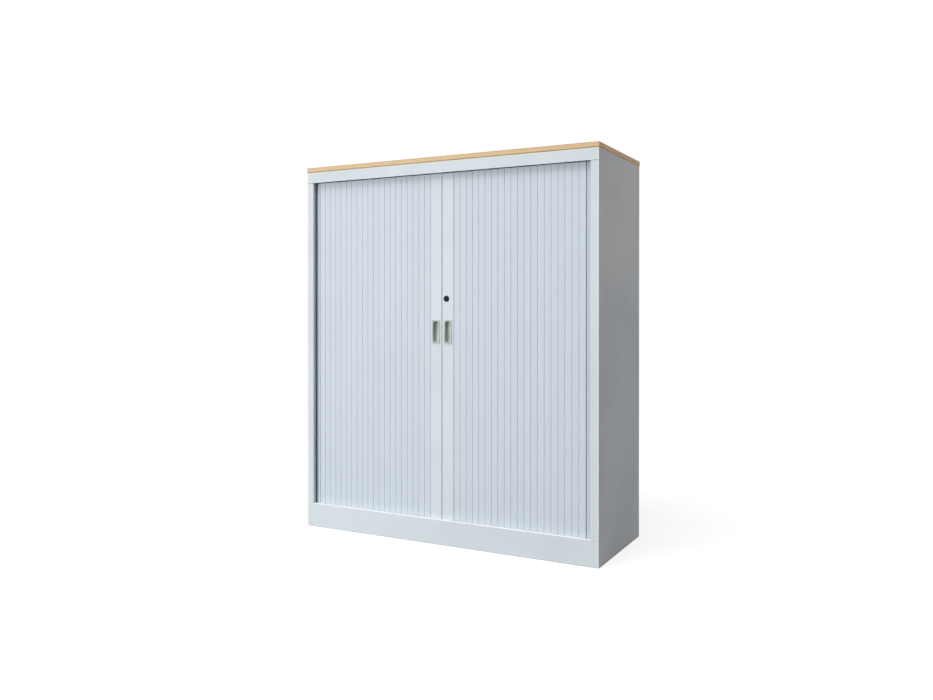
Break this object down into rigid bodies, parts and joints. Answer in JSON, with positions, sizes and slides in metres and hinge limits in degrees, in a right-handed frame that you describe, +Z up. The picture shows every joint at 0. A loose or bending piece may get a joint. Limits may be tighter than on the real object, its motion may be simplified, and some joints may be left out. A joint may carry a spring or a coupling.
{
  "type": "tambour door cabinet",
  "caption": "Steel storage cabinet with a wooden top, two side-retracting tambour curtains on lead posts, recessed handle cups, a hook lock and adjustable shelves.",
  "frame": {"origin": "on the floor, under the middle of the cabinet", "axes": "+Z up, the doors face -Y, +X to the right as seen from the front"},
  "size_m": [1.2, 0.45, 1.398],
  "materials": {
    "painted_steel": "satin powder coat, pale cool grey white",
    "slat_plastic": "smooth matt, pale cool grey",
    "wood_laminate": "satin light beech laminate",
    "track_plastic": "smooth dark grey",
    "cap_plastic": "smooth mid grey",
    "cup_metal": "satin",
    "lock_black": "semi-gloss black",
    "zinc_steel": "zinc plated"
  },
  "bodies": {
    "carcass": {"wood_top": "wood_laminate", "roof_panel": "painted_steel", "header_rail": "painted_steel", "plinth_front": "painted_steel", "upper_deck": "painted_steel", "lower_deck": "painted_steel", "back_panel": "painted_steel", "floor_panel": "painted_steel", "inner_back_panel": "painted_steel", "shelf_1": "painted_steel", "shelf_2": "painted_steel", "shelf_3": "painted_steel", "left_side_panel": "painted_steel", "right_side_panel": "painted_steel", "left_liner": "painted_steel", "right_liner": "painted_steel", "left_hanger_1": "zinc_steel", "left_hanger_2": "zinc_steel", "left_hanger_3": "zinc_steel", "right_hanger_1": "zinc_steel", "right_hanger_2": "zinc_steel", "right_hanger_3": "zinc_steel", "left_lower_track": "track_plastic", "left_upper_track": "track_plastic", "right_lower_track": "track_plastic", "right_upper_track": "track_plastic"},
    "right_door": {"right_lead_post": "painted_steel", "right_lower_cap": "cap_plastic", "right_upper_cap": "cap_plastic", "right_handle_cup": "cup_metal", "lock_housing": "lock_black", "lock_nut": "zinc_steel"},
    "left_door": {"left_lead_post": "painted_steel", "left_lower_cap": "cap_plastic", "left_upper_cap": "cap_plastic", "left_handle_cup": "cup_metal", "strike_plate": "zinc_steel"},
    "lock": {"lock_plug": "lock_black", "lock_hook": "zinc_steel", "hook_screw": "zinc_steel"},
    "right_slat_1": {"right_slat_1": "slat_plastic"},
    "right_slat_2": {"right_slat_2": "slat_plastic"},
    "right_slat_mat": {"right_slat_mat": "slat_plastic"},
    "right_slat_3": {"right_slat_3": "slat_plastic"},
    "right_slat_4": {"right_slat_4": "slat_plastic"},
    "right_slat_pair": {"right_slat_pair": "slat_plastic"},
    "right_slat_5": {"right_slat_5": "slat_plastic"},
    "right_slat_6": {"right_slat_6": "slat_plastic"},
    "right_slat_7": {"right_slat_7": "slat_plastic"},
    "left_slat_1": {"left_slat_1": "slat_plastic"},
    "left_slat_2": {"left_slat_2": "slat_plastic"},
    "left_slat_mat": {"left_slat_mat": "slat_plastic"},
    "left_slat_3": {"left_slat_3": "slat_plastic"},
    "left_slat_4": {"left_slat_4": "slat_plastic"},
    "left_slat_pair": {"left_slat_pair": "slat_plastic"},
    "left_slat_5": {"left_slat_5": "slat_plastic"},
    "left_slat_6": {"left_slat_6": "slat_plastic"},
    "left_slat_7": {"left_slat_7": "slat_plastic"}
  },
  "joints": [
    {"name": "right_door_slide", "type": "slide", "parent": "carcass", "child": "right_door", "axis": [1, 0, 0], "range_m": [0, 0.5]},
    {"name": "left_door_slide", "type": "slide", "parent": "carcass", "child": "left_door", "axis": [-1, 0, 0], "range_m": [0, 0.5]},
    {"name": "lock_turn", "type": "hinge", "parent": "right_door", "child": "lock", "pos_m": [0.0185, -0.2, 0.886], "axis": [0, 1, 0], "range_deg": [0, 90]},
    {"name": "right_slat_1_hinge", "type": "hinge", "parent": "right_door", "child": "right_slat_1", "pos_m": [0.04865, -0.202, 0.713], "axis": [0, 0, 1], "range_deg": [0, 15.31], "deforming": ["right_slat_1"]},
    {"name": "right_slat_2_hinge", "type": "hinge", "parent": "right_slat_1", "child": "right_slat_2", "pos_m": [0.07365, -0.202, 0.713], "axis": [0, 0, 1], "range_deg": [0, 48.07], "deforming": ["right_slat_2"]},
    {"name": "right_slat_mat_hinge", "type": "hinge", "parent": "right_door", "child": "right_slat_mat", "pos_m": [0.07685, -0.19487, 0.713], "axis": [0, 0, 1], "range_deg": [0, 90.02], "deforming": ["right_slat_mat"]},
    {"name": "right_slat_3_hinge", "type": "hinge", "parent": "right_slat_mat", "child": "right_slat_3", "pos_m": [0.44865, -0.202, 0.713], "axis": [0, 0, 1], "range_deg": [0, 20.82], "deforming": ["right_slat_3"]},
    {"name": "right_slat_4_hinge", "type": "hinge", "parent": "right_slat_3", "child": "right_slat_4", "pos_m": [0.47365, -0.202, 0.713], "axis": [0, 0, 1], "range_deg": [0, 48.86], "deforming": ["right_slat_4"]},
    {"name": "right_slat_pair_hinge", "type": "hinge", "parent": "right_slat_4", "child": "right_slat_pair", "pos_m": [0.49865, -0.202, 0.713], "axis": [0, 0, 1], "range_deg": [0, 20.37], "deforming": ["right_slat_pair"]},
    {"name": "right_slat_5_hinge", "type": "hinge", "parent": "right_slat_pair", "child": "right_slat_5", "pos_m": [0.54865, -0.202, 0.713], "axis": [0, 0, 1], "range_deg": [-15.31, 0], "deforming": ["right_slat_5"]},
    {"name": "right_slat_6_hinge", "type": "hinge", "parent": "right_slat_5", "child": "right_slat_6", "pos_m": [0.57276, -0.19541, 0.713], "axis": [0, 0, 1], "range_deg": [-48.07, 0], "deforming": ["right_slat_6"]},
    {"name": "right_slat_7_hinge", "type": "hinge", "parent": "right_slat_6", "child": "right_slat_7", "pos_m": [0.58398, -0.17306, 0.713], "axis": [0, 0, 1], "range_deg": [-26.63, 0], "deforming": ["right_slat_7"]},
    {"name": "left_slat_1_hinge", "type": "hinge", "parent": "left_door", "child": "left_slat_1", "pos_m": [-0.04865, -0.202, 0.713], "axis": [0, 0, -1], "range_deg": [0, 15.31], "deforming": ["left_slat_1"]},
    {"name": "left_slat_2_hinge", "type": "hinge", "parent": "left_slat_1", "child": "left_slat_2", "pos_m": [-0.07365, -0.202, 0.713], "axis": [0, 0, -1], "range_deg": [0, 48.07], "deforming": ["left_slat_2"]},
    {"name": "left_slat_mat_hinge", "type": "hinge", "parent": "left_door", "child": "left_slat_mat", "pos_m": [-0.07685, -0.19487, 0.713], "axis": [0, 0, -1], "range_deg": [0, 90.02], "deforming": ["left_slat_mat"]},
    {"name": "left_slat_3_hinge", "type": "hinge", "parent": "left_slat_mat", "child": "left_slat_3", "pos_m": [-0.44865, -0.202, 0.713], "axis": [0, 0, -1], "range_deg": [0, 20.82], "deforming": ["left_slat_3"]},
    {"name": "left_slat_4_hinge", "type": "hinge", "parent": "left_slat_3", "child": "left_slat_4", "pos_m": [-0.47365, -0.202, 0.713], "axis": [0, 0, -1], "range_deg": [0, 48.86], "deforming": ["left_slat_4"]},
    {"name": "left_slat_pair_hinge", "type": "hinge", "parent": "left_slat_4", "child": "left_slat_pair", "pos_m": [-0.49865, -0.202, 0.713], "axis": [0, 0, -1], "range_deg": [0, 20.37], "deforming": ["left_slat_pair"]},
    {"name": "left_slat_5_hinge", "type": "hinge", "parent": "left_slat_pair", "child": "left_slat_5", "pos_m": [-0.54865, -0.202, 0.713], "axis": [0, 0, -1], "range_deg": [-15.31, 0], "deforming": ["left_slat_5"]},
    {"name": "left_slat_6_hinge", "type": "hinge", "parent": "left_slat_5", "child": "left_slat_6", "pos_m": [-0.57276, -0.19541, 0.713], "axis": [0, 0, -1], "range_deg": [-48.07, 0], "deforming": ["left_slat_6"]},
    {"name": "left_slat_7_hinge", "type": "hinge", "parent": "left_slat_6", "child": "left_slat_7", "pos_m": [-0.58398, -0.17306, 0.713], "axis": [0, 0, -1], "range_deg": [-26.63, 0], "deforming": ["left_slat_7"]}
  ],
  "couplings": [
    {"joint": "right_slat_1_hinge", "follows": "right_door_slide", "rad_per_m": 0.53377},
    {"joint": "right_slat_2_hinge", "follows": "right_door_slide", "rad_per_m": 1.6773},
    {"joint": "right_slat_mat_hinge", "follows": "right_door_slide", "rad_per_m": 3.1415},
    {"joint": "right_slat_3_hinge", "follows": "right_door_slide", "rad_per_m": 0.72634},
    {"joint": "right_slat_4_hinge", "follows": "right_door_slide", "rad_per_m": 1.705},
    {"joint": "right_slat_pair_hinge", "follows": "right_door_slide", "rad_per_m": 0.71038},
    {"joint": "right_slat_5_hinge", "follows": "right_door_slide", "rad_per_m": -0.53377},
    {"joint": "right_slat_6_hinge", "follows": "right_door_slide", "rad_per_m": -1.6773},
    {"joint": "right_slat_7_hinge", "follows": "right_door_slide", "rad_per_m": -0.92899},
    {"joint": "left_slat_1_hinge", "follows": "left_door_slide", "rad_per_m": 0.53377},
    {"joint": "left_slat_2_hinge", "follows": "left_door_slide", "rad_per_m": 1.6773},
    {"joint": "left_slat_mat_hinge", "follows": "left_door_slide", "rad_per_m": 3.1415},
    {"joint": "left_slat_3_hinge", "follows": "left_door_slide", "rad_per_m": 0.72634},
    {"joint": "left_slat_4_hinge", "follows": "left_door_slide", "rad_per_m": 1.705},
    {"joint": "left_slat_pair_hinge", "follows": "left_door_slide", "rad_per_m": 0.71038},
    {"joint": "left_slat_5_hinge", "follows": "left_door_slide", "rad_per_m": -0.53377},
    {"joint": "left_slat_6_hinge", "follows": "left_door_slide", "rad_per_m": -1.6773},
    {"joint": "left_slat_7_hinge", "follows": "left_door_slide", "rad_per_m": -0.92899}
  ]
}
